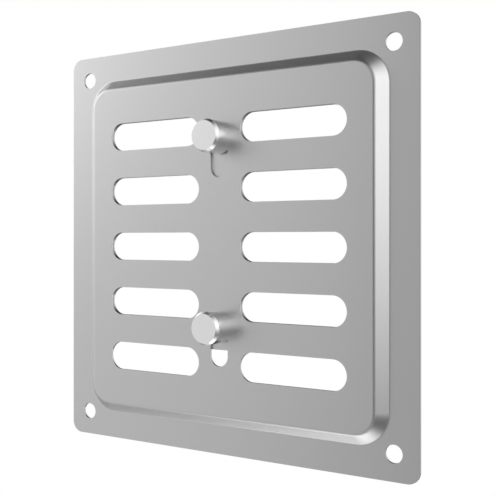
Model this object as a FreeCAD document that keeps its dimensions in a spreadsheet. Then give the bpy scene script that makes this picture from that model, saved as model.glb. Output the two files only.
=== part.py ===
import FreeCAD, Part
import math
import os
import PartDesign
import Sketcher

# Hit-and-miss ventilation grille: a pressed cover plate with a slotted shutter sliding behind it.
# Frame: origin on the wall plane behind the middle of the cover, front towards -Y, +Z up.
# The shutter is drawn fully open, with its two knobs at the top of their guide slots.

DIMENSIONS = {
    # cover sheet
    "plate_width": 150,
    "corner_radius": 5,
    "sheet_thickness": 0.75,
    "fixing_inset": 9,
    "fixing_hole_diameter": 6,
    # pressed panel: its bevel starts press_inset in from the plate's edge
    "press_inset": 10.5,
    "press_corner_radius": 11.5,
    "press_depth": 3.6,
    "bevel_angle": 45,
    "bend_radius": 0.15,
    # air slots: both insets run from the plate's edge to the outermost slots
    "slot_rows": 5,
    "slot_width": 10.5,
    "slot_inset": 24,
    "row_inset": 27.75,
    "centre_bar": 18,
    # shutter
    "shutter_thickness": 0.65,
    "shutter_play": 0.1,
    "shutter_corner_radius": 3,
    "shutter_side_gap": 3.6,
    "shutter_top_gap": 1.3,
    "closing_lap": 0.15,
    # knobs and their guides: knob_inset runs from the plate's edge to the middle of a guide slot
    "knob_inset": 41.25,
    "knob_diameter": 11.8,
    "knob_length": 9.3,
    "knob_chamfer_width": 0.7,
    "knob_chamfer_depth": 1.25,
    "guide_slot_width": 7.5,
    "guide_clearance": 0.1,
    "bush_chamfer": 0.12,
    # fixings
    "screw_diameter": 3,
    "screw_clearance": 0.1,
    "thread_clearance": 0.04,
    "thread_engagement": 5.1,
    "hole_run_out": 1.2,
    "drill_point_angle": 118,
    "screw_head_diameter": 5.6,
    "screw_head_height": 1.2,
    "screw_head_rounding": 0.35,
    "socket_width": 2,
    "socket_depth": 0.8,
    "flat_washer_diameter": 7,
    "flat_washer_thickness": 0.5,
    "spring_washer_diameter": 6,
    "spring_washer_thickness": 0.7,
    "spring_washer_split": 0.6,
    "spring_washer_slant": 20,
}

# Sizes that several pieces share, worked out from the driving dimensions.
HALF_PLATE = "(dims.plate_width / 2)"
TOP_ROW = "(" + HALF_PLATE + " - dims.row_inset - dims.slot_width / 2)"
ROW_PITCH = "(2 * " + TOP_ROW + " / (dims.slot_rows - 1))"
TRAVEL = "(" + ROW_PITCH + " / 2)"
SLOT_LENGTH = "(" + HALF_PLATE + " - dims.slot_inset - dims.centre_bar / 2)"
SLOT_COLUMN = "(dims.centre_bar / 2 + " + SLOT_LENGTH + " / 2)"
KNOB_OFFSET = "(" + HALF_PLATE + " - dims.knob_inset)"
PANEL_FOOT = "(" + HALF_PLATE + " - dims.press_inset)"
BEVEL_GROWTH = "(dims.sheet_thickness * (1 / cos(dims.bevel_angle) - tan(dims.bevel_angle)))"
CAVITY_FOOT = "(" + PANEL_FOOT + " - " + BEVEL_GROWTH + ")"
CAVITY_FLOOR = "(" + CAVITY_FOOT + " - dims.press_depth * tan(dims.bevel_angle))"
SHUTTER_SLOT_WIDTH = "(" + ROW_PITCH + " - dims.slot_width - 2 * dims.closing_lap)"
SHUTTER_SLOT_LENGTH = "(" + SLOT_LENGTH + " - 2 * dims.closing_lap)"
SCREW_HOLE = "(dims.screw_diameter + 2 * dims.screw_clearance)"
THREAD_HOLE = "(dims.screw_diameter + 2 * dims.thread_clearance)"
BUSH_LENGTH = "(dims.sheet_thickness + 2 * dims.shutter_play)"
SCREW_STACK = (
    "(dims.flat_washer_thickness + dims.spring_washer_thickness"
    " + dims.shutter_thickness + " + BUSH_LENGTH + ")"
)

# Y of each seat, from the front of the knobs' base back to the screw heads.
KNOB_BASE = "-dims.press_depth - dims.sheet_thickness - dims.shutter_play"
SHUTTER_FRONT = "-dims.press_depth + dims.shutter_play"
SHUTTER_BACK = SHUTTER_FRONT + " + dims.shutter_thickness"
FLAT_WASHER_BACK = SHUTTER_BACK + " + dims.flat_washer_thickness"
SPRING_WASHER_BACK = FLAT_WASHER_BACK + " + dims.spring_washer_thickness"

# In a sketch's constraints 1 is a curve's start, 2 its end and 3 its centre. Curve -1 is the
# level axis, which starts at the origin, and curve -2 the upright axis.

doc = FreeCAD.newDocument("ventilation_grille")


def make_sheet():
    sheet = doc.addObject("Spreadsheet::Sheet", "dims")
    for row, (name, value) in enumerate(DIMENSIONS.items(), start=1):
        sheet.set("A%d" % row, name)
        sheet.set("B%d" % row, str(value))
        sheet.setAlias("B%d" % row, name)
    doc.recompute()


def make_body(name, depth="0", height="0"):
    body = doc.addObject("PartDesign::Body", name)
    body.Label = name
    body.setExpression("Placement.Base.y", depth)
    body.setExpression("Placement.Base.z", height)
    return body


def make_sketch(body, name, role="XZ_Plane", offset="0"):
    """A sketch on one of the body's own origin planes; offset moves it along the plane's normal."""
    sketch = body.newObject("Sketcher::SketchObject", name)
    plane = next(item for item in body.Origin.OriginFeatures if item.Role == role)
    sketch.AttachmentSupport = [(plane, "")]
    sketch.MapMode = "FlatFace"
    sketch.setExpression("AttachmentOffset.Base.z", offset)
    return sketch


def point(x, y):
    return FreeCAD.Vector(x, y, 0)


def add_line(sketch, start, end):
    return sketch.addGeometry(Part.LineSegment(point(*start), point(*end)))


def add_arc(sketch, centre, radius, start_degrees, sweep_degrees):
    circle = Part.Circle(point(*centre), FreeCAD.Vector(0, 0, 1), radius)
    start = math.radians(start_degrees)
    return sketch.addGeometry(Part.ArcOfCircle(circle, start, start + math.radians(sweep_degrees)))


def constrain(sketch, kind, *references):
    return sketch.addConstraint(Sketcher.Constraint(kind, *references))


def drive(sketch, name, formula, kind, *references):
    """Adds a dimension whose value follows a formula of the sheet."""
    index = constrain(sketch, kind, *references)
    sketch.renameConstraint(index, name)
    sketch.setExpression("Constraints." + name, formula)


def rounded_rectangle(sketch, half_width, top, bottom, radius):
    """Centred on the upright axis; top and bottom are distances from the level axis."""
    x, z, r = 20, 20, 4
    sides = [
        add_line(sketch, (r - x, z), (x - r, z)),
        add_line(sketch, (x, z - r), (x, r - z)),
        add_line(sketch, (x - r, -z), (r - x, -z)),
        add_line(sketch, (-x, r - z), (-x, z - r)),
    ]
    middles = [(x - r, z - r), (x - r, r - z), (r - x, r - z), (r - x, z - r)]
    corners = [add_arc(sketch, middle, r, -90 * turn, 90) for turn, middle in enumerate(middles)]
    for turn in range(4):
        following = sides[(turn + 1) % 4]
        constrain(sketch, "Tangent", sides[turn], 2, corners[turn], 2)
        constrain(sketch, "Tangent", corners[turn], 1, following, 1)
    for corner in corners[1:]:
        constrain(sketch, "Equal", corners[0], corner)
    constrain(sketch, "Vertical", sides[1])
    constrain(sketch, "Horizontal", sides[2])
    constrain(sketch, "Vertical", sides[3])
    constrain(sketch, "Symmetric", sides[0], 1, sides[0], 2, -2)
    drive(sketch, "radius", radius, "Radius", corners[0], r)
    drive(sketch, "flat_width", "2 * (" + half_width + " - " + radius + ")",
          "DistanceX", sides[0], 1, sides[0], 2, 2 * (x - r))
    drive(sketch, "top", top, "DistanceY", -1, 1, sides[0], 1, z)
    drive(sketch, "bottom", bottom, "DistanceY", sides[2], 1, -1, 1, z)


def round_ended_slot(sketch, length, width, x_place, z_place, upright=False):
    """A slot with full-radius ends, centred at the two places; length is overall."""
    half, r = 10, 4
    turn = 90 if upright else 0

    def turned(x, z):
        return (-z, x) if upright else (x, z)

    near = add_line(sketch, turned(-half, r), turned(half, r))
    far = add_line(sketch, turned(half, -r), turned(-half, -r))
    head = add_arc(sketch, turned(half, 0), r, turn - 90, 180)
    tail = add_arc(sketch, turned(-half, 0), r, turn + 90, 180)
    constrain(sketch, "Tangent", near, 2, head, 2)
    constrain(sketch, "Tangent", head, 1, far, 1)
    constrain(sketch, "Tangent", far, 2, tail, 2)
    constrain(sketch, "Tangent", tail, 1, near, 1)
    constrain(sketch, "Equal", head, tail)
    constrain(sketch, "Vertical" if upright else "Horizontal", near)
    drive(sketch, "end_radius", width + " / 2", "Radius", head, r)
    reach = "(" + length + " - " + width + ") / 2"
    if upright:
        constrain(sketch, "PointOnObject", head, 3, -2)
        drive(sketch, "head", z_place + " + " + reach, "DistanceY", -1, 1, head, 3, half)
        drive(sketch, "tail", z_place + " - " + reach, "DistanceY", -1, 1, tail, 3, -half)
    else:
        drive(sketch, "head", x_place + " + " + reach, "DistanceX", -1, 1, head, 3, half)
        drive(sketch, "tail", x_place + " - " + reach, "DistanceX", -1, 1, tail, 3, -half)
        drive(sketch, "level", z_place, "DistanceY", -1, 1, head, 3, 1)


def add_circle(sketch, name, diameter):
    circle = sketch.addGeometry(Part.Circle(point(0, 0), FreeCAD.Vector(0, 0, 1), 2))
    drive(sketch, name, diameter, "Diameter", circle, 4)
    return circle


def pad(body, name, sketch, length, taper=None):
    feature = body.newObject("PartDesign::Pad", name)
    feature.Profile = sketch
    feature.setExpression("Length", length)
    if taper:
        feature.setExpression("TaperAngle", taper)
    doc.recompute()
    return feature


def cut_forward(body, name, sketch, depth=None, taper=None):
    """Cuts from the sketch towards the front, through everything when no depth is given."""
    before = body.Shape.Volume
    feature = body.newObject("PartDesign::Pocket", name)
    feature.Profile = sketch
    feature.Reversed = True
    if depth:
        feature.setExpression("Length", depth)
    else:
        feature.Type = "ThroughAll"
    if taper:
        feature.setExpression("TaperAngle", taper)
    doc.recompute()
    if not feature.Shape.Volume < before:
        raise RuntimeError(name + " removes nothing")
    return feature


def fillet(body, name, base, edges, radius):
    feature = body.newObject("PartDesign::Fillet", name)
    feature.Base = (base, edges)
    feature.setExpression("Radius", radius)
    doc.recompute()
    return feature


def edges_at_depth(feature, depth, reach):
    """Names of the edges lying flat at Y = depth, within reach of the middle in X and Z."""
    names = []
    for number, edge in enumerate(feature.Shape.Edges, start=1):
        box = edge.BoundBox
        flat = abs(box.YMin - depth) < 1e-4 and abs(box.YMax - depth) < 1e-4
        if flat and max(box.XMax, -box.XMin, box.ZMax, -box.ZMin) < reach:
            names.append("Edge%d" % number)
    return names


def revolve(body, name, sketch):
    feature = body.newObject("PartDesign::Revolution", name)
    feature.Profile = sketch
    feature.ReferenceAxis = (sketch, ["V_Axis"])
    feature.Angle = 360
    doc.recompute()
    return feature


def mirrored(body, name, original, sketch, axis):
    feature = body.newObject("PartDesign::Mirrored", name)
    feature.Originals = [original]
    feature.MirrorPlane = (sketch, [axis])
    body.Tip = feature
    doc.recompute()
    return feature


def slot_grid(body, original, sketch, rows):
    """Repeats one slot down the rows and mirrors that column to the other side."""
    grid = body.newObject("PartDesign::MultiTransform", "slot_grid")
    grid.Originals = [original]
    column = body.newObject("PartDesign::LinearPattern", "slot_column")
    column.Direction = (sketch, ["V_Axis"])
    column.Reversed = True
    column.setExpression("Length", "(" + rows + " - 1) * " + ROW_PITCH)
    column.setExpression("Occurrences", rows)
    twin = body.newObject("PartDesign::Mirrored", "slot_columns")
    twin.MirrorPlane = (sketch, ["V_Axis"])
    grid.Transformations = [column, twin]
    body.Tip = grid
    doc.recompute()
    return grid


def make_front_plate():
    body = make_body("front_plate")

    outline = make_sketch(body, "flange_outline")
    rounded_rectangle(outline, HALF_PLATE, HALF_PLATE, HALF_PLATE, "dims.corner_radius")
    pad(body, "flange", outline, "dims.sheet_thickness")

    panel_outline = make_sketch(body, "panel_outline", offset="dims.sheet_thickness")
    rounded_rectangle(panel_outline, PANEL_FOOT, PANEL_FOOT, PANEL_FOOT,
                      "dims.press_corner_radius")
    panel = pad(body, "panel", panel_outline, "dims.press_depth", taper="-dims.bevel_angle")

    sheet = doc.dims
    flange_front = -sheet.sheet_thickness
    panel_front = flange_front - sheet.press_depth
    inside_flange = sheet.plate_width / 2 - sheet.press_inset / 2
    crown = fillet(body, "crown_bend", panel,
                   edges_at_depth(panel, panel_front, inside_flange),
                   "dims.bend_radius + dims.sheet_thickness")
    foot_bend = fillet(body, "foot_bend", crown,
                       edges_at_depth(crown, flange_front, inside_flange), "dims.bend_radius")

    cavity_outline = make_sketch(body, "cavity_outline")
    rounded_rectangle(cavity_outline, CAVITY_FOOT, CAVITY_FOOT, CAVITY_FOOT,
                      "(dims.press_corner_radius - " + BEVEL_GROWTH + ")")
    cavity = cut_forward(body, "cavity", cavity_outline, "dims.press_depth", "-dims.bevel_angle")
    rim = fillet(body, "back_foot_bend", cavity, edges_at_depth(cavity, 0, inside_flange),
                 "dims.bend_radius + dims.sheet_thickness")
    fillet(body, "back_crown_bend", rim,
           edges_at_depth(rim, -sheet.press_depth, inside_flange), "dims.bend_radius")

    slot_sketch = make_sketch(body, "air_slot_outline")
    round_ended_slot(slot_sketch, SLOT_LENGTH, "dims.slot_width", SLOT_COLUMN, TOP_ROW)
    air_slot = cut_forward(body, "air_slot", slot_sketch)
    slot_grid(body, air_slot, slot_sketch, "dims.slot_rows")

    guide_sketch = make_sketch(body, "guide_slot_outline")
    round_ended_slot(guide_sketch, "(dims.guide_slot_width + " + TRAVEL + ")",
                     "dims.guide_slot_width", "0", KNOB_OFFSET, upright=True)
    guide_slot = cut_forward(body, "guide_slot", guide_sketch)
    mirrored(body, "guide_slots", guide_slot, guide_sketch, "H_Axis")

    hole_sketch = make_sketch(body, "fixing_hole_outline")
    hole = add_circle(hole_sketch, "diameter", "dims.fixing_hole_diameter")
    hole_place = HALF_PLATE + " - dims.fixing_inset"
    drive(hole_sketch, "across", hole_place, "DistanceX", -1, 1, hole, 3, 1)
    drive(hole_sketch, "up", hole_place, "DistanceY", -1, 1, hole, 3, 1)
    fixing_hole = cut_forward(body, "fixing_hole", hole_sketch)
    holes = body.newObject("PartDesign::PolarPattern", "fixing_holes")
    holes.Originals = [fixing_hole]
    holes.Axis = (hole_sketch, ["N_Axis"])
    holes.Occurrences = 4
    body.Tip = holes
    return body


def make_shutter_plate():
    """Drawn about the middle of its two screw holes; it has one slot row less than the cover."""
    body = make_body("shutter_plate", SHUTTER_BACK, TRAVEL + " / 2")

    outline = make_sketch(body, "outline")
    half_width = "(" + CAVITY_FLOOR + " - dims.shutter_side_gap)"
    top = "(" + CAVITY_FLOOR + " - dims.shutter_top_gap - " + TRAVEL + " / 2)"
    bottom = ("(" + TOP_ROW + " - dims.slot_width / 2 + dims.closing_lap + "
              + TRAVEL + " / 2)")
    rounded_rectangle(outline, half_width, top, bottom, "dims.shutter_corner_radius")
    pad(body, "sheet", outline, "dims.shutter_thickness")

    slot_sketch = make_sketch(body, "air_slot_outline")
    round_ended_slot(slot_sketch, SHUTTER_SLOT_LENGTH, SHUTTER_SLOT_WIDTH,
                     SLOT_COLUMN, "(" + TOP_ROW + " - " + TRAVEL + " / 2)")
    air_slot = cut_forward(body, "air_slot", slot_sketch)
    slot_grid(body, air_slot, slot_sketch, "(dims.slot_rows - 1)")

    hole_sketch = make_sketch(body, "screw_hole_outline")
    hole = add_circle(hole_sketch, "diameter", SCREW_HOLE)
    constrain(hole_sketch, "PointOnObject", hole, 3, -2)
    drive(hole_sketch, "up", KNOB_OFFSET, "DistanceY", -1, 1, hole, 3, 1)
    screw_hole = cut_forward(body, "screw_hole", hole_sketch)
    mirrored(body, "screw_holes", screw_hole, hole_sketch, "H_Axis")
    return body


def evaluate(formula):
    return float(doc.dims.evalExpression(formula))


def hold_start(sketch, name, formula, kind, line):
    """Fixes one coordinate of a line's start, on the axis itself where the distance is nought."""
    distance = evaluate(formula)
    if abs(distance) < 1e-9:
        axis = -2 if kind == "DistanceX" else -1
        constrain(sketch, "PointOnObject", line, 1, axis)
    else:
        drive(sketch, name, formula, kind, -1, 1, line, 1, distance)


def closed_outline(sketch, corners):
    """Lines from corner to corner, joined end to end."""
    following = corners[1:] + corners[:1]
    lines = [add_line(sketch, start, end) for start, end in zip(corners, following)]
    for line, after in zip(lines, lines[1:] + lines[:1]):
        constrain(sketch, "Coincident", line, 2, after, 1)
    return lines


def turned_profile(body, corners):
    """Half section of a turned piece: each corner is a radius and a distance in front."""
    sketch = make_sketch(body, "profile", role="XY_Plane")
    places = [(evaluate(radius), -evaluate(front)) for radius, front in corners]
    lines = closed_outline(sketch, places)
    for number, (radius, front) in enumerate(corners):
        hold_start(sketch, "radius_%d" % number, radius, "DistanceX", lines[number])
        hold_start(sketch, "front_%d" % number, "-(" + front + ")", "DistanceY", lines[number])
    return sketch


def make_knob(name, height):
    """Turned knob: plain barrel, chamfered front edge, blind screw hole in its base."""
    body = make_body(name, KNOB_BASE, height)
    radius = "dims.knob_diameter / 2"
    bore = THREAD_HOLE + " / 2"
    hole_depth = "(dims.thread_engagement + dims.hole_run_out)"
    point_depth = bore + " / tan(dims.drill_point_angle / 2)"
    profile = turned_profile(body, [
        (bore, "0"),
        (radius, "0"),
        (radius, "dims.knob_length - dims.knob_chamfer_depth"),
        (radius + " - dims.knob_chamfer_width", "dims.knob_length"),
        ("0", "dims.knob_length"),
        ("0", hole_depth + " + " + point_depth),
        (bore, hole_depth),
    ])
    revolve(body, "barrel", profile)
    return body


def make_guide_bush(name, height):
    """Spacer bush that slides in the guide slot and sets the knob and shutter apart."""
    body = make_body(name, SHUTTER_FRONT, height)
    radius = "(dims.guide_slot_width / 2 - dims.guide_clearance)"
    bore = SCREW_HOLE + " / 2"
    eased = radius + " - dims.bush_chamfer"
    profile = turned_profile(body, [
        (bore, "0"),
        (eased, "0"),
        (radius, "dims.bush_chamfer"),
        (radius, BUSH_LENGTH + " - dims.bush_chamfer"),
        (eased, BUSH_LENGTH),
        (bore, BUSH_LENGTH),
    ])
    revolve(body, "bush", profile)
    return body


def make_washer(name, depth, height, diameter, thickness):
    body = make_body(name, depth, height)
    ring_sketch = make_sketch(body, "ring_outline")
    for edge, size in (("outside", diameter), ("bore", SCREW_HOLE)):
        circle = add_circle(ring_sketch, edge, size)
        constrain(ring_sketch, "Coincident", circle, 3, -1, 1)
    pad(body, "ring", ring_sketch, thickness)
    return body


def make_spring_washer(name, height):
    """Split washer pressed flat, its slit slanting through the thickness of the ring."""
    body = make_washer(name, SPRING_WASHER_BACK, height,
                       "dims.spring_washer_diameter", "dims.spring_washer_thickness")
    slit_sketch = make_sketch(body, "slit_outline", role="XY_Plane")
    lines = closed_outline(slit_sketch, [(1, 1), (2, 1), (1, -2), (0, -2)])
    for level in (lines[0], lines[2]):
        constrain(slit_sketch, "Horizontal", level)
    constrain(slit_sketch, "Parallel", lines[1], lines[3])
    lean = "dims.spring_washer_thickness * tan(dims.spring_washer_slant)"
    drive(slit_sketch, "back", "dims.spring_washer_thickness",
          "DistanceY", -1, 1, lines[0], 1, 1)
    drive(slit_sketch, "front", "2 * dims.spring_washer_thickness",
          "DistanceY", lines[2], 1, -1, 1, 2)
    drive(slit_sketch, "split", "dims.spring_washer_split",
          "DistanceX", lines[0], 1, lines[0], 2, 1)
    drive(slit_sketch, "lean", "3 * " + lean,
          "DistanceX", lines[3], 1, lines[3], 2, 1)
    drive(slit_sketch, "start", lean + " - dims.spring_washer_split / 2",
          "DistanceX", -1, 1, lines[0], 1, 1)
    slit = body.newObject("PartDesign::Pocket", "slit")
    slit.Profile = slit_sketch
    slit.Reversed = True
    slit.Type = "ThroughAll"
    doc.recompute()
    return body


def make_screw(name, height):
    """Thin-head screw put in from the wall side, with a hexagon socket in its head."""
    body = make_body(name, SPRING_WASHER_BACK, height)
    shank = "dims.screw_diameter / 2"
    head = "dims.screw_head_diameter / 2"
    reach = "(" + SCREW_STACK + " + dims.thread_engagement)"
    tip = "dims.screw_diameter / 6"
    profile = turned_profile(body, [
        ("0", "-dims.screw_head_height"),
        (head + " - dims.screw_head_rounding", "-dims.screw_head_height"),
        (head, "dims.screw_head_rounding - dims.screw_head_height"),
        (head, "0"),
        (shank, "0"),
        (shank, reach + " - " + tip),
        (shank + " - " + tip, reach),
        ("0", reach),
    ])
    revolve(body, "turned_blank", profile)

    socket_sketch = make_sketch(body, "socket_outline", offset="-dims.screw_head_height")
    turns = [math.radians(60 * step) for step in range(6)]
    sides = closed_outline(socket_sketch, [(math.cos(turn), math.sin(turn)) for turn in turns])
    circle = add_circle(socket_sketch, "across_corners", "dims.socket_width / cos(30)")
    socket_sketch.setConstruction(circle, True)
    constrain(socket_sketch, "Coincident", circle, 3, -1, 1)
    for side in sides:
        constrain(socket_sketch, "PointOnObject", side, 1, circle)
    for side in sides[1:]:
        constrain(socket_sketch, "Equal", sides[0], side)
    constrain(socket_sketch, "Horizontal", sides[1])
    cut_forward(body, "socket", socket_sketch, "dims.socket_depth")
    return body


def make_grille():
    make_sheet()
    pieces = [make_front_plate(), make_shutter_plate()]
    for level, sign in (("upper_", "+ "), ("lower_", "- ")):
        height = TRAVEL + " / 2 " + sign + KNOB_OFFSET
        pieces += [
            make_knob(level + "knob", height),
            make_guide_bush(level + "guide_bush", height),
            make_washer(level + "flat_washer", FLAT_WASHER_BACK, height,
                        "dims.flat_washer_diameter", "dims.flat_washer_thickness"),
            make_spring_washer(level + "spring_washer", height),
            make_screw(level + "screw", height),
        ]
    doc.recompute()
    return pieces


def check(pieces):
    for item in doc.Objects:
        if "Invalid" in item.State or "Error" in item.State:
            raise RuntimeError(item.Label + " failed: " + ", ".join(item.State))
    for piece in pieces:
        if piece.Shape.isNull() or not piece.Shape.isValid() or len(piece.Shape.Solids) != 1:
            raise RuntimeError(piece.Label + " is not one valid solid")


def write(pieces):
    os.makedirs("parts", exist_ok=True)
    for piece in pieces:
        piece.Shape.exportStep("parts/" + piece.Label + ".step")


pieces = make_grille()
check(pieces)
write(pieces)
for piece in pieces:
    print("%-22s %9.2f mm3" % (piece.Label, piece.Shape.Volume))
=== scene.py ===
import math

import bmesh
import bpy
import numpy as np
from mathutils.geometry import tessellate_polygon
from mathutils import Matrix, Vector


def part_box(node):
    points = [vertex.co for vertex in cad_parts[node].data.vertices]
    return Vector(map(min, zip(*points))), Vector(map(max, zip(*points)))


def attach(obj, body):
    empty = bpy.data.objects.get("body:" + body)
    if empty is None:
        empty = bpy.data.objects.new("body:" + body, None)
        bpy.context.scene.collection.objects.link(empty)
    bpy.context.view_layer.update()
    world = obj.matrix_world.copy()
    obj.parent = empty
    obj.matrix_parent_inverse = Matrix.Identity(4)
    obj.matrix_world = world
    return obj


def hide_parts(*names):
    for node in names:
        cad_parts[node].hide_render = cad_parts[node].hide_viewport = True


# Hit-and-miss ventilation grille, seen from its right, fully open. Metres, front towards -Y.

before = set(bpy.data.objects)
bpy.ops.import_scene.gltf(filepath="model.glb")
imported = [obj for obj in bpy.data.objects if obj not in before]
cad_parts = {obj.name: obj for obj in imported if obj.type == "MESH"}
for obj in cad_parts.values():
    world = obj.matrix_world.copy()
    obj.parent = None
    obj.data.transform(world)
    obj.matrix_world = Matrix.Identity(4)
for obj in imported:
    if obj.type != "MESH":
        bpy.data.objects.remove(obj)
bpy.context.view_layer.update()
mm = 0.001

meshing = {
    "onPath": 1e-7,      # a profile's points this near its path lie on a sheared wall
    "weld": 2e-7,        # points nearer than this become one
    "sliver": 1e-8,      # shorter edges are taken out
    "sharp": 35,         # edges that turn by more degrees than this are shaded sharp
    "cornerSteps": 20,   # in each quarter circle of an outline
    "slotSteps": 28,     # in each half circle of a slot
    "holeSteps": 48,     # round a hole
    "ringSteps": 72,     # round a bush or washer
}


def loopPath(arcs):
    # A closed line of arcs joined by straights: each arc is centre x, centre z, radius, start
    # angle, sweep in degrees and number of steps. A point is the centre plus the radius times
    # its normal (cos, sin). Returns the points and the outward normals, arc by arc.
    points, normals = [], []
    for x, z, radius, start, sweep, steps in arcs:
        turn = np.radians(start + sweep * np.linspace(0, 1, steps + 1))
        normal = np.stack([np.cos(turn), np.sin(turn)], axis=1)
        points.append(np.array([x, z]) + radius * normal)
        normals.append(normal)
    return np.concatenate(points), np.concatenate(normals)


def roundedSquarePath(halfWidth, top, bottom, radius):
    # Four quarter circles, clockwise from the top right, centred one radius in from two sides.
    x, up, down = halfWidth - radius, top - radius, bottom + radius
    steps = meshing["cornerSteps"]
    return loopPath([(x, up, radius, 90, -90, steps), (x, down, radius, 0, -90, steps),
                     (-x, down, radius, -90, -90, steps), (-x, up, radius, 180, -90, steps)])


def slotPath(x, z, halfLength, radius, upright=False):
    # Two half circles, each centred the half length less the radius from the slot's middle.
    reach, steps = halfLength - radius, meshing["slotSteps"]
    if upright:
        return loopPath([(x, z + reach, radius, 180, -180, steps),
                         (x, z - reach, radius, 0, -180, steps)])
    return loopPath([(x + reach, z, radius, 90, -180, steps),
                     (x - reach, z, radius, 270, -180, steps)])


def circlePath(x, z, radius):
    # Middle plus radius times (cos, sin) of equal turns, clockwise as the other paths are.
    steps = meshing["holeSteps"]
    turn = -2 * np.pi * np.arange(steps) / steps
    normals = np.stack([np.cos(turn), np.sin(turn)], axis=1)
    return np.array([x, z]) + radius * normals, normals


def softened(corners, margin, steps=5):
    # Rounds a profile's corners: each is two coordinates and a radius. An arc starts the
    # radius over tan of the corner's half angle away from the corner, and turns evenly from
    # one end's radius, a, to the other's, b. A point is kept on the flat a margin away from
    # every arc, so that shading turns only in the arc.
    made = []
    for number, (u, v, radius) in enumerate(corners):
        corner = np.array([u, v], float)
        if radius == 0 or number in (0, len(corners) - 1):
            made.append(corner[None])
            continue
        back = np.array(corners[number - 1][:2]) - corner
        ahead = np.array(corners[number + 1][:2]) - corner
        reach = [np.linalg.norm(back), np.linalg.norm(ahead)]
        back, ahead = back / reach[0], ahead / reach[1]
        half = np.arccos(np.clip(back @ ahead, -1, 1)) / 2
        tangent = radius / np.tan(half)
        inward = (back + ahead) / np.linalg.norm(back + ahead)
        centre = corner + inward * radius / np.sin(half)
        first, last = corner + back * tangent, corner + ahead * tangent
        a, b = (first - centre) / radius, (last - centre) / radius
        turn = np.arccos(np.clip(a @ b, -1, 1))
        t = np.linspace(0, 1, steps + 1)[:, None]
        arc = centre + radius * (np.sin((1 - t) * turn) * a + np.sin(t * turn) * b) / np.sin(turn)
        pieces = [arc]
        if tangent + 2 * margin < reach[0]:
            pieces.insert(0, (first + back * margin)[None])
        if tangent + 2 * margin < reach[1]:
            pieces.append((last + ahead * margin)[None])
        made.append(np.concatenate(pieces))
    return np.concatenate(made)


class Surface:
    # Collects grids and flats, then welds them into one closed piece.
    # cuts holds 1 for a point on a sheared wall and 0 for the others.
    def __init__(self, name):
        self.name, self.points, self.faces, self.cuts, self.count = name, [], [], [], 0

    def grid(self, points, cut=0.0):
        # Points in rows and columns. Each face joins two neighbours of a row to the same two
        # of the next row, and the last column joins the first.
        rows, columns = points.shape[:2]
        self.cuts.append(np.broadcast_to(cut, (rows, columns)).ravel())
        here = self.count + np.arange(rows * columns).reshape(rows, columns)
        after = np.roll(here, -1, axis=1)
        quads = np.stack([here[:-1], after[:-1], after[1:], here[1:]], axis=-1)
        self.points.append(points.reshape(-1, 3))
        self.faces += quads.reshape(-1, 4).tolist()
        self.count += rows * columns

    def carry(self, path, profile):
        # Profile carried along a path: its first number is the distance out along the path's
        # normal, its second the depth in Y. Returns the first and the last line that it draws.
        line, normals = path
        out, depth = profile[:, 0, None], profile[:, 1, None]
        x = line[:, 0] + out * normals[:, 0]
        z = line[:, 1] + out * normals[:, 1]
        points = np.stack([x, np.broadcast_to(depth, x.shape), z], axis=-1)
        self.grid(points, cut=np.abs(out) < meshing["onPath"])
        return points[0], points[-1]

    def flat(self, outline, holes=()):
        # The flat inside an outline but for its holes, in triangles between their points.
        loops = [outline, *holes]
        triangles = tessellate_polygon([[tuple(p) for p in loop] for loop in loops])
        self.points += loops
        self.cuts += [np.zeros(len(loop)) for loop in loops]
        self.faces += (np.array(triangles) + self.count).tolist()
        self.count += sum(len(loop) for loop in loops)

    def turned(self, profile, centre, steps):
        # A profile of radius and distance in front, turned about an axis along Y.
        turn = 2 * np.pi * np.arange(steps) / steps
        radius, front = profile[:, 0, None], profile[:, 1, None]
        x = centre[0] + radius * np.cos(turn)
        z = centre[2] + radius * np.sin(turn)
        y = np.broadcast_to(centre[1] - front, x.shape)
        self.grid(np.stack([x, y, z], axis=-1))

    def finish(self, body, material, *nodes):
        # The welded mesh, faces outwards, takes the place of its CAD node.
        mesh = bpy.data.meshes.new(self.name)
        mesh.from_pydata(np.concatenate(self.points).tolist(), [], self.faces)
        walls = mesh.attributes.new("cut", "FLOAT", "POINT")
        walls.data.foreach_set("value", np.concatenate(self.cuts).astype(np.float32))
        shape = bmesh.new()
        shape.from_mesh(mesh)
        bmesh.ops.remove_doubles(shape, verts=shape.verts, dist=meshing["weld"])
        bmesh.ops.dissolve_degenerate(shape, edges=shape.edges, dist=meshing["sliver"])
        bmesh.ops.recalc_face_normals(shape, faces=shape.faces)
        openEdges = sum(not edge.is_manifold for edge in shape.edges)
        shape.to_mesh(mesh)
        shape.free()
        mesh.shade_smooth()
        mesh.set_sharp_from_angle(angle=math.radians(meshing["sharp"]))
        mesh.materials.append(materials[material])
        piece = bpy.data.objects.new(self.name, mesh)
        bpy.context.scene.collection.objects.link(piece)
        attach(piece, body)
        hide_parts(*nodes)
        print(self.name, "faces", len(mesh.polygons), "open edges", openEdges)


class Wire:
    # A shader socket that takes part in sums; every sum adds its Math node.
    def __init__(self, tree, socket):
        self.tree, self.socket = tree, socket

    def sum(self, operation, first, second):
        node = self.tree.nodes.new("ShaderNodeMath")
        node.operation = operation
        for slot, value in zip(node.inputs, (first, second)):
            plug(self.tree, slot, value)
        return Wire(self.tree, node.outputs[0])

    def __add__(self, other):
        return self.sum("ADD", self, other)

    def __sub__(self, other):
        return self.sum("SUBTRACT", self, other)

    def __rsub__(self, other):
        return self.sum("SUBTRACT", other, self)

    def __mul__(self, other):
        return self.sum("MULTIPLY", self, other)

    __radd__, __rmul__ = __add__, __mul__


def plug(tree, slot, value):
    if isinstance(value, Wire):
        tree.links.new(value.socket, slot)
    else:
        slot.default_value = value


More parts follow.
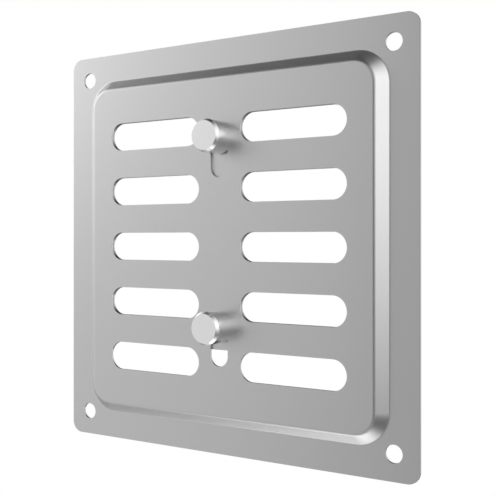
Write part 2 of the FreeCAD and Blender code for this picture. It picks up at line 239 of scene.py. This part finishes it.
class Nodes:
    # A node tree, and the one method that adds any node but those of the sums.
    def __init__(self, tree):
        self.tree = tree
        tree.nodes.clear()

    def node(self, kind, settings=None, output=0, numbered=None, **named):
        # A socket goes by its name, or by its number where several share a name. Returns the
        # output asked for; only an output node has none.
        node = self.tree.nodes.new("ShaderNode" + kind)
        for name, value in (settings or {}).items():
            setattr(node, name, value)
        for number, value in (numbered or {}).items():
            plug(self.tree, node.inputs[number], value)
        for name, value in named.items():
            plug(self.tree, node.inputs[name.replace("_", " ")], value)
        return Wire(self.tree, node.outputs[output]) if len(node.outputs) else None

    def seenPlainly(self):
        # 1 where the camera, a gloss or a clear piece looks straight at the backdrop, 0 elsewhere
        camera, gloss, clear = [self.node("LightPath", output="Is " + ray + " Ray")
                                for ray in ("Camera", "Glossy", "Transmission")]
        total = camera + gloss + clear
        return total.sum("MINIMUM", total, 1.0)


class Finish(Nodes):
    # A material of its own.
    def __init__(self, name):
        self.material = bpy.data.materials.new(name)
        self.material.use_nodes = True
        super().__init__(self.material.node_tree)

    def place(self):
        return self.node("TexCoord", output="Object")

    def marked(self, attribute):
        # The number that the mesh carries under this name.
        return self.node("Attribute", {"attribute_name": attribute}, "Fac")

    def turnedPlace(self, place):
        # For marks left by turning: distance from the nearer knob's axis, which is the root of
        # x squared plus (height from between the knobs, less the knobs' offset) squared, and
        # place along the axis.
        x, y, z = [self.node("SeparateXYZ", output=axis, Vector=place) for axis in "XYZ"]
        middle = z - grid["travel"] / 2
        across = middle.sum("ABSOLUTE", middle, 0.0) - grid["knobOffset"]
        square = x * x + across * across
        return self.node("CombineXYZ", X=square.sum("SQRT", square, 0.0), Y=y)

    def noise(self, place, scale, detail):
        return self.node("TexNoise", Vector=place, Scale=scale, Detail=detail, Roughness=0.6)

    def mix(self, factor, first, second):
        # A colour that goes from the first to the second as the factor rises from 0 to 1. Among
        # its sockets of one name, inputs 6 and 7 and output 2 are the ones for colours.
        return self.node("Mix", {"data_type": "RGBA"}, 2, {6: first, 7: second}, Factor=factor)

    def end(self, shader):
        self.node("OutputMaterial", Surface=shader)
        return self.material


metals = {
    "satin_sheet": {"colour": (0.648, 0.648, 0.648), "roughness": 0.35, "grain": 0.03},
    "shutter_sheet": {"colour": (0.65, 0.65, 0.65), "roughness": 0.37, "grain": 0.04},
    "turned_knob": {"colour": (0.98, 0.98, 0.98), "roughness": 0.25, "grain": 0.03,
                    "turned": True},
    "zinc_steel": {"colour": (0.60, 0.61, 0.63), "roughness": 0.36, "grain": 0.06},
}
metalLook = {
    "sheetGrain": (9000.0, 2.0),    # scale and detail of the very fine even grain
    "turnedGrain": (6000.0, 1.0),   # of the marks on a turned piece
    "clouds": (60.0, 3.0),          # and of the slow clouding
    "toneSwing": 0.05,              # how far each of them moves the tone from dark to light
    "dark": 0.94,                   # shares of the metal's own colour
    "light": 1.06,
    "bump": 0.03,
    "bumpDepth": 0.02 * mm,
    # painted shade: the sheared walls of the openings get this darker grey for the shade inside
    # them
    "shearedWallPaintedShade": (0.60, 0.60, 0.60, 1),
    "shearedSmoother": 0.20,        # less roughness on the walls that the punch left
}
nylonLook = {
    "grain": (4000.0, 3.0),
    "clouds": (300.0, 3.0),
    "dark": (0.70, 0.69, 0.64, 1),
    "light": (0.78, 0.77, 0.73, 1),
    "roughness": 0.45,
    "roughnessSwing": 0.1,
    "bump": 0.1,
    "bumpDepth": 0.03 * mm,
}


def metalFinish(name, colour, roughness, grain, turned=False):
    # Satin metal with a fine and a slow noise, each about 0.5. The tone is 0.5 plus the swing
    # times (fine - 0.5) and (slow - 0.5). The roughness is its own value plus twice the grain
    # times (fine - 0.5) and the grain times (slow - 0.5). Sheared walls are smoother, and their
    # darker colour is painted shade that stands for the shade inside the openings.
    finish = Finish(name)
    place = finish.place()
    cut = finish.marked("cut")
    if turned:
        fine = finish.noise(finish.turnedPlace(place), *metalLook["turnedGrain"])
    else:
        fine = finish.noise(place, *metalLook["sheetGrain"])
    slow = finish.noise(place, *metalLook["clouds"])
    swing = metalLook["toneSwing"]
    tone = (fine - 0.5) * swing + (slow - 0.5) * swing + 0.5
    dark = (*[part * metalLook["dark"] for part in colour], 1)
    light = (*[min(1.0, part * metalLook["light"]) for part in colour], 1)
    # on sheared walls the colour turns to the darker grey of the painted shade inside the
    # openings
    shade = finish.mix(cut, finish.mix(tone, dark, light), metalLook["shearedWallPaintedShade"])
    gloss = (fine - 0.5) * grain * 2 + (slow - 0.5) * grain + roughness
    gloss = gloss - cut * metalLook["shearedSmoother"]
    bump = finish.node("Bump", Height=fine, Strength=metalLook["bump"],
                       Distance=metalLook["bumpDepth"])
    return finish.end(finish.node("BsdfPrincipled", Base_Color=shade, Metallic=1.0,
                                  Roughness=gloss, Normal=bump))


def nylonFinish(name):
    # Natural nylon: slow clouding in the colour, fine grain in the gloss and the bump.
    finish = Finish(name)
    place = finish.place()
    fine = finish.noise(place, *nylonLook["grain"])
    slow = finish.noise(place, *nylonLook["clouds"])
    shade = finish.mix(slow, nylonLook["dark"], nylonLook["light"])
    gloss = nylonLook["roughness"] + fine * nylonLook["roughnessSwing"]
    bump = finish.node("Bump", Height=fine, Strength=nylonLook["bump"],
                       Distance=nylonLook["bumpDepth"])
    return finish.end(finish.node("BsdfPrincipled", Base_Color=shade, Roughness=gloss,
                                  Normal=bump))


plateLow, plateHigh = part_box("front_plate")
shutterLow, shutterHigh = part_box("shutter_plate")

cover = {
    "halfWidth": plateHigh.x,
    "cornerRadius": 4.4 * mm,
    "sheet": 0.75 * mm,
    "pressInset": 10.5 * mm,    # from the plate's edge to the foot of the bevel
    "pressCorner": 11.5 * mm,   # radius of the bevel's corners at its foot
    "crownRadius": 1.8 * mm,    # front of the bend round the panel
    "footRadius": 0.75 * mm,    # and of the one beside the flange
    "bendSteps": 9,
    "bevelAngle": 45,
    "holeInset": 9 * mm,
    "holeRadius": 3 * mm,
    "punchRoll": 0.04 * mm,     # rounding that the punch leaves on the front of an edge
    "burr": 0.02 * mm,          # and on the back
    "margin": 0.25 * mm,
}
grid = {
    "rows": 5,
    "pitch": 21 * mm,
    "column": 30 * mm,          # from the grille's middle to the slots' middle
    "halfLength": 21 * mm,
    "radius": 5.25 * mm,
    "guideRadius": 3.75 * mm,
    "knobOffset": 33.75 * mm,   # from the middle to a guide slot's middle
    "travel": 10.5 * mm,        # of the shutter, down from fully open
}
shutter = {
    "lap": 0.06 * mm,           # of the closed shutter over each slot, above and below
    "cornerRadius": 3 * mm,
    "screwHole": 1.6 * mm,
}
topRow = (grid["rows"] - 1) / 2 * grid["pitch"]

materials = {name: metalFinish(name, **values) for name, values in metals.items()}
materials["nylon"] = nylonFinish("nylon")
print("materials made")


def cutEdge(front, back):
    # Half section of a cut edge, from the back round to the front, out from the cut line.
    margin, roll, burr = cover["margin"], cover["punchRoll"], cover["burr"]
    return softened([(burr + margin, back, 0), (0, back, burr), (0, front, roll),
                     (roll + margin, front, 0)], margin)


def openingEdges(surface, paths, front, back):
    # Lines the sheet's openings; returns their back and front lines for the flats.
    lines = [surface.carry(path, cutEdge(front, back)) for path in paths]
    return [line[0] for line in lines], [line[1] for line in lines]


def outerEdge(surface, path, front, back):
    # The same section turned round, because the sheet lies inside an outline.
    return surface.carry(path, cutEdge(front, back) * (-1, 1))


def bendProfiles(panelFront, flangeFront):
    # Front and back lines of the pressed bevel, out from its foot. The bevel's run is its rise
    # over tan of the bend, and an arc starts its radius times tan of half the bend from its
    # corner.
    sheet, crownFront, footFront = cover["sheet"], cover["crownRadius"], cover["footRadius"]
    turn = math.radians(90 - cover["bevelAngle"])
    bevelRun = (flangeFront - panelFront) / math.tan(turn)
    share = math.tan(turn / 2)

    def line(back, crownRadius, footRadius):
        # both corners of the back line lie a share of the sheet's thickness further in
        crown, foot = -bevelRun - back * share, -back * share
        start = crown - crownRadius * share - cover["margin"]
        end = foot + footRadius * share + cover["margin"]
        return softened([(start, panelFront + back, 0), (crown, panelFront + back, crownRadius),
                         (foot, flangeFront + back, footRadius), (end, flangeFront + back, 0)],
                        cover["margin"], cover["bendSteps"])

    return line(0, crownFront, footFront), line(sheet, crownFront - sheet, footFront + sheet)


def slotRows(count, halfLength, radius):
    # Slots in two columns, from the top row down by whole pitches.
    return [slotPath(side * grid["column"], topRow - row * grid["pitch"], halfLength, radius)
            for side in (-1, 1) for row in range(count)]


def makeCover():
    # The bevel's lines carried round the panel, cut edges in every opening and round the
    # outline, and flats between them.
    surface = Surface("coverPlate")
    front = -cover["sheet"]
    panelFront, panelBack = plateLow.y, plateLow.y + cover["sheet"]
    guideHalf = grid["guideRadius"] + grid["travel"] / 2
    panelOpenings = slotRows(grid["rows"], grid["halfLength"], grid["radius"])
    panelOpenings += [slotPath(0, side * grid["knobOffset"], guideHalf, grid["guideRadius"], True)
                      for side in (-1, 1)]
    half = cover["halfWidth"]
    corner = half - cover["holeInset"]
    wallHoles = [circlePath(x * corner, z * corner, cover["holeRadius"])
                 for x in (-1, 1) for z in (-1, 1)]
    outline = roundedSquarePath(half, half, -half, cover["cornerRadius"])
    foot = half - cover["pressInset"]
    bevel = roundedSquarePath(foot, foot, -foot, cover["pressCorner"])

    slotBacks, slotFronts = openingEdges(surface, panelOpenings, panelFront, panelBack)
    holeBacks, holeFronts = openingEdges(surface, wallHoles, front, 0.0)
    rimBack, rimFront = outerEdge(surface, outline, front, 0.0)
    frontLine, backLine = bendProfiles(panelFront, front)
    panelFrontLoop, flangeFrontLoop = surface.carry(bevel, frontLine)
    panelBackLoop, flangeBackLoop = surface.carry(bevel, backLine)
    surface.flat(panelFrontLoop, slotFronts)
    surface.flat(panelBackLoop, slotBacks)
    surface.flat(rimFront, [flangeFrontLoop, *holeFronts])
    surface.flat(rimBack, [flangeBackLoop, *holeBacks])
    surface.finish("frame", "satin_sheet", "front_plate")


def makeShutter():
    # A flat sheet whose slots are as high as the webs between the cover's slots, less a lap at
    # each side.
    surface = Surface("shutterPlate")
    front, back = shutterLow.y, shutterHigh.y
    radius = grid["pitch"] / 2 - grid["radius"] - shutter["lap"]
    openings = slotRows(grid["rows"] - 1, grid["halfLength"] - shutter["lap"], radius)
    middle = grid["travel"] / 2
    openings += [circlePath(0, middle + side * grid["knobOffset"], shutter["screwHole"])
                 for side in (-1, 1)]
    outline = roundedSquarePath(shutterHigh.x, shutterHigh.z, shutterLow.z,
                                shutter["cornerRadius"])
    backs, fronts = openingEdges(surface, openings, front, back)
    rimBack, rimFront = outerEdge(surface, outline, front, back)
    surface.flat(rimFront, fronts)
    surface.flat(rimBack, backs)
    surface.finish("shutter", "shutter_sheet", "shutter_plate")


makeCover()
makeShutter()
print("sheets made")

knob = {
    "chamferWidth": 0.7 * mm,
    "chamferDepth": 1.25 * mm,
    "edge": 0.06 * mm,
    "baseEdge": 0.01 * mm,
    "closer": 0.085 * mm,    # the base comes this much nearer the panel than the CAD knob's
    "boreRadius": 1.54 * mm,
    "boreDepth": 6.3 * mm,
    "drillPoint": 0.93 * mm,
    "steps": 96,
}


def nodeCentre(node):
    # Middle, radius and length along Y of a round CAD node, from its box.
    low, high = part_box(node)
    return (low + high) / 2, (high.x - low.x) / 2, high.y - low.y


def makeKnob(level):
    # Turned about Y: from the point of the blind hole over the back, the side and the chamfer
    # to the middle of the face. Each corner is radius, distance in front of the base, rounding.
    middle, radius, length = nodeCentre(level + "_knob")
    base = (middle.x, middle.y + length / 2 + knob["closer"], middle.z)
    length = length + knob["closer"]
    face = radius - knob["chamferWidth"]
    corners = [
        (0, knob["boreDepth"] + knob["drillPoint"], 0),
        (knob["boreRadius"], knob["boreDepth"], 0),
        (knob["boreRadius"], 0, knob["edge"]),
        (radius, 0, knob["baseEdge"]),
        (radius, length - knob["chamferDepth"], knob["edge"]),
        (face, length, knob["edge"]),
        (0, length, 0),
    ]
    surface = Surface(level + "Knob")
    surface.turned(softened(corners, cover["margin"]), base, knob["steps"])
    surface.finish("shutter", "turned_knob", level + "_knob")


for level in ("upper", "lower"):
    makeKnob(level)
print("knobs made")

fixing = {
    "boreRadius": 1.6 * mm,
    "bushChamfer": 0.12 * mm,
    "washerEdge": 0.08 * mm,
    "margin": 0.12 * mm,
    "edgeSteps": 4,
    "split": 0.6 * mm,
    "splitSlant": 20,
    "splitSteps": 96,            # from one face of the split round to the other
}
screw = {
    "shankRadius": 1.5 * mm,
    "headHeight": 1.2 * mm,
    "headRounding": 0.35 * mm,
    "headEdge": 0.06 * mm,
    "headMargin": 0.1 * mm,
    "headSteps": 6,              # in each rounding of the head
    "landRadius": 1.45 * mm,     # of the first round ring outside the hexagon
    "socket": 2.0 * mm,          # across the flats
    "socketDepth": 0.8 * mm,
    "socketEase": 0.08 * mm,
    "socketPoint": 0.25 * mm,    # the socket's bottom is this much deeper in its middle
    "socketFloor": 0.97,         # width of the bottom as a share of the socket's
    "neck": 0.3 * mm,            # plain shank beside the head
    "threadStart": 0.5 * mm,     # from the head
    "threadEnd": 0.45 * mm,      # from the tip
    "pitch": 0.5 * mm,
    "ringsInPitch": 10,
    "threadDepth": 0.16 * mm,
    "threadSlope": 1.6,
    "threadCrest": 0.3,
    "tipLength": 0.4 * mm,
    "tipRadius": 1.15 * mm,
    "steps": 72,
}


def ringSection(radius, depth, edge):
    # Closed section of a ring with eased edges: radius and distance in front of its back.
    bore, middle = fixing["boreRadius"], (fixing["boreRadius"] + radius) / 2
    corners = [(middle, 0, 0), (radius, 0, edge), (radius, depth, edge),
               (bore, depth, edge), (bore, 0, edge), (middle, 0, 0)]
    return softened(corners, fixing["margin"], fixing["edgeSteps"])


def makeRing(name, node, material, edge):
    # The section turned about the CAD node's own axis.
    middle, radius, depth = nodeCentre(node)
    surface = Surface(name)
    base = (middle.x, middle.y + depth / 2, middle.z)
    surface.turned(ringSection(radius, depth, edge), base, meshing["ringSteps"])
    surface.finish("shutter", material, node)


def makeSplitRing(name, node):
    # The section goes from one face of the slanted split right round to the other: at each
    # radius the split's half angle is asin of its half width, moved along by the slant.
    middle, radius, depth = nodeCentre(node)
    section = ringSection(radius, depth, fixing["washerEdge"])[:-1]
    along = np.linspace(0, 1, fixing["splitSteps"] + 1)[:, None]
    radii, front = section[:, 0], section[:, 1]
    slide = (front - depth / 2) * math.tan(math.radians(fixing["splitSlant"]))
    first = np.arcsin((fixing["split"] / 2 + slide) / radii)
    last = 2 * np.pi - np.arcsin((fixing["split"] / 2 - slide) / radii)
    turn = first + (last - first) * along + np.pi / 2
    points = np.stack([middle.x + radii * np.cos(turn),
                       np.broadcast_to(middle.y + depth / 2 - front, turn.shape),
                       middle.z + radii * np.sin(turn)], axis=-1)
    surface = Surface(name)
    surface.grid(points)
    surface.flat(points[0])
    surface.flat(points[-1])
    surface.finish("shutter", "zinc_steel", node)


def makeScrew(level):
    # Rings from the socket's bottom over the head to the tip; the distance is from the head's
    # back. The hexagon's radius is half its width over cos of the turn from its nearest flat.
    # The thread is cut in by its depth times clip(slope |2 wave - 1| - crest, 0, 1), where wave
    # is what is left over of the distance in pitches less the turn.
    middle, radius, length = nodeCentre(level + "_screw")
    turn = 2 * np.pi * np.arange(screw["steps"]) / screw["steps"]
    flats = screw["socket"] / 2 / np.cos((turn + np.pi / 6) % (np.pi / 3) - np.pi / 6)
    depth, ease = screw["socketDepth"], screw["socketEase"]
    shank, head = screw["shankRadius"], screw["headHeight"]
    socket = [(0 * flats, depth + screw["socketPoint"]), (flats * screw["socketFloor"], depth),
              (flats, depth - ease), (flats, ease), (flats + ease, 0.0)]
    outside = softened([(screw["landRadius"], 0, 0), (radius, 0, screw["headRounding"]),
                        (radius, head, screw["headEdge"]), (shank, head, 0),
                        (shank, head + screw["neck"], 0)],
                       screw["headMargin"], screw["headSteps"])
    rings = socket + [(0 * flats + out, away) for out, away in outside]
    pitch = screw["pitch"]
    away = np.arange(head + screw["threadStart"], length - screw["threadEnd"],
                     pitch / screw["ringsInPitch"])
    wave = (away[:, None] / pitch - turn / (2 * np.pi)) % 1
    ends = np.clip(np.minimum(away - away[0], away[-1] - away) / pitch, 0, 1)
    saw = np.clip(screw["threadSlope"] * np.abs(2 * wave - 1) - screw["threadCrest"], 0, 1)
    cut = screw["threadDepth"] * saw
    rings += list(zip(shank - cut * ends[:, None], away))
    rings += [(0 * flats + shank, length - screw["tipLength"]),
              (0 * flats + screw["tipRadius"], length), (0 * flats, length)]
    back = middle.y + length / 2
    points = np.stack([np.stack([middle.x + out * np.cos(turn), 0 * turn + back - front,
                                 middle.z + out * np.sin(turn)], axis=-1)
                       for out, front in rings])
    surface = Surface(level + "Screw")
    surface.grid(points)
    surface.finish("shutter", "zinc_steel", level + "_screw")


for level in ("upper", "lower"):
    makeRing(level + "Bush", level + "_guide_bush", "nylon", fixing["bushChamfer"])
    makeRing(level + "Washer", level + "_flat_washer", "zinc_steel", fixing["washerEdge"])
    makeSplitRing(level + "SpringWasher", level + "_spring_washer")
    makeScrew(level)
print("fixings made")

studio = {
    "white": (1, 1, 1, 1),
    "floor": -1.65,
    "floorSize": 8.0,
    "floorColour": (0.8, 0.8, 0.8, 1),
    "floorGlow": 1.31,
    "daylight": 0.5,    # the world's light on surfaces that aren't metal
    "reach": 1.6,       # how far off the first of the soft boxes and flags stands
    "cardGap": 0.02,    # how much nearer each of the next ones is
    "cardRings": 32,
    "cardSteps": 72,
    # soft boxes above 1 and flags below it, farthest first: azimuth (0 in front, 90 to the
    # right) and elevation of the middle, half width, half height and tilt in degrees,
    # softness of the edge and brightness
    "cards": {
        "topFlag": (-86, 38, 31, 25, -19, 0.13, 0.50),
        "leftBox": (-70, 26, 23, 14, -60, 0.49, 2.58),
        "rightBox": (61, -3, 16, 71, 0, 0.12, 1.73),
        "lowFrontFlag": (-2, -28, 42, 55, 60, 0.12, 0.46),
        "ceilingFlag": (-150, 50, 95, 43, 74, 0.87, 0.01),
        "lowRightFlag": (69, -36, 34, 27.5, -45, 0.59, 0.13),
        "lowLeftFlag": (-59, -32, 78, 15, 45, 0.12, 0.68),
        "highFlag": (-5, 60, 20, 32, -57, 0.12, 0.02),
        "backFlag": (-145, -25, 60, 48, -2, 0.12, 0.28),
        "leftBackFlag": (-156, 0, 27, 50, 0, 0.30, 0.02),
        "leftBackBox": (-122, 14, 12, 16, -20, 0.30, 1.60),
        "rightBackBox": (136, -2, 23, 28, 0, 0.30, 0.86),
        "cameraFlag": (5, -3, 16, 33, 26, 0.12, 0.11),
    },
    "lamps": {
        "leftLamp": {"at": (-1.3, -0.7, 0.9), "size": 0.9, "power": 12},
        "rightLamp": {"at": (1.3, -0.8, 0.7), "size": 0.8, "power": 10},
    },
}


def makeWorld():
    # White where it is seen plainly, and the daylight's strength for everything else.
    world = bpy.data.worlds.new("studio")
    bpy.context.scene.world = world
    world.use_nodes = True
    nodes = Nodes(world.node_tree)
    strength = nodes.seenPlainly() * (1 - studio["daylight"]) + studio["daylight"]
    background = nodes.node("Background", Color=studio["white"], Strength=strength)
    nodes.node("OutputWorld", Surface=background)


def staged(name, points, faces, material):
    # A piece of the studio, not of the grille.
    mesh = bpy.data.meshes.new(name)
    mesh.from_pydata(points, [], faces)
    mesh.materials.append(material)
    thing = bpy.data.objects.new(name, mesh)
    bpy.context.scene.collection.objects.link(thing)
    return thing


def makeFloor():
    # A square of pale paint that glows where it is seen plainly.
    half, level = studio["floorSize"] / 2, studio["floor"]
    finish = Finish("floor")
    paint = finish.node("BsdfDiffuse", Color=studio["floorColour"])
    glow = finish.node("Emission", Color=studio["white"],
                       Strength=finish.seenPlainly() * studio["floorGlow"])
    both = finish.node("AddShader", numbered={0: paint, 1: glow})
    staged("floor", [(-half, -half, level), (half, -half, level), (half, half, level),
                     (-half, half, level)], [(0, 1, 2, 3)], finish.end(both))


def cardFinish(name, level):
    # A plain glow of the card's level that fades to clear at its edge.
    finish = Finish(name)
    fade = finish.marked("fade")
    clear = finish.node("BsdfTransparent")
    glow = finish.node("Emission", Color=studio["white"], Strength=level)
    return finish.end(finish.node("MixShader", numbered={1: clear, 2: glow}, Fac=fade))


def makeCard(number, name, azimuth, elevation, halfWidth, halfHeight, tilt, softness, level):
    # A patch of a sphere round the object, which only gloss sees. A ring rho and an angle phi
    # give the offsets x = halfWidth rho cos(phi) and y = halfHeight rho sin(phi) in degrees,
    # and fade = s(0.5 + (1 - rho) / (2 softness)) with s the smooth step.
    azimuth, elevation, tilt = np.radians([azimuth, elevation, tilt])
    middle = np.array([np.cos(elevation) * np.sin(azimuth),
                       -np.cos(elevation) * np.cos(azimuth), np.sin(elevation)])
    side = np.array([np.cos(azimuth), np.sin(azimuth), 0])
    up = np.cross(middle, side)
    up = up * np.sign(up[2])
    right = np.cos(tilt) * side + np.sin(tilt) * up
    top = np.cos(tilt) * up - np.sin(tilt) * side
    rho = np.linspace(0, 1 + softness, studio["cardRings"] + 1)[:, None]
    phi = 2 * np.pi * np.arange(studio["cardSteps"]) / studio["cardSteps"]
    x = np.radians(halfWidth) * rho * np.cos(phi)
    y = np.radians(halfHeight) * rho * np.sin(phi)
    swing = np.maximum(np.hypot(x, y), 1e-9)   # never 0, because the next line divides by it
    away = (x[..., None] * right + y[..., None] * top) / swing[..., None]
    direction = middle * np.cos(swing)[..., None] + away * np.sin(swing)[..., None]
    surface = Surface(name)
    surface.grid(direction * (studio["reach"] - studio["cardGap"] * number))
    card = staged(name, np.concatenate(surface.points), surface.faces,
                  cardFinish(name, level))
    share = np.clip(0.5 + (1 - rho) / (2 * softness), 0, 1)
    share = np.broadcast_to(share * share * (3 - 2 * share), x.shape)
    fade = card.data.attributes.new("fade", "FLOAT", "POINT")
    fade.data.foreach_set("value", share.astype(np.float32).ravel())
    card.visible_camera = card.visible_diffuse = card.visible_shadow = False
    card.visible_transmission = False


def aim(thing, place):
    # Stands the thing at its place, with its -Z axis towards the grille's middle.
    thing.location = place
    x, y, z = place
    thing.rotation_euler = (math.atan2(math.hypot(x, y), z), 0, math.atan2(x, -y))


def makeLamps():
    # Soft light from the front for what isn't metal; no gloss shows the lamps.
    for name, values in studio["lamps"].items():
        light = bpy.data.lights.new(name, "AREA")
        light.size = values["size"]
        light.energy = values["power"]
        lamp = bpy.data.objects.new(name, light)
        bpy.context.scene.collection.objects.link(lamp)
        lamp.visible_glossy = False
        aim(lamp, values["at"])


view = {
    "x": 186.848 * mm,
    "front": 266.269 * mm,   # in front of the flange
    "z": 2.886 * mm,
    "yaw": 33.619,
    "lens": 65.662,
    "sensor": 36,
    "rise": -0.01777,        # lens shift: the photo is cropped a little off its middle
    "near": 10 * mm,
}


def makeCamera():
    # Level, turned by the yaw towards the grille.
    data = bpy.data.cameras.new("camera")
    data.lens, data.sensor_width = view["lens"], view["sensor"]
    data.shift_y = view["rise"]
    data.clip_start = view["near"]
    camera = bpy.data.objects.new("camera", data)
    bpy.context.scene.collection.objects.link(camera)
    camera.location = (view["x"], -view["front"] - cover["sheet"], view["z"])
    camera.rotation_euler = (math.radians(90), 0, math.radians(view["yaw"]))
    bpy.context.scene.camera = camera


makeWorld()
makeFloor()
for number, (name, values) in enumerate(studio["cards"].items()):
    makeCard(number, name, *values)
makeLamps()
makeCamera()
bpy.context.scene.view_settings.view_transform = "Standard"
print("studio made")
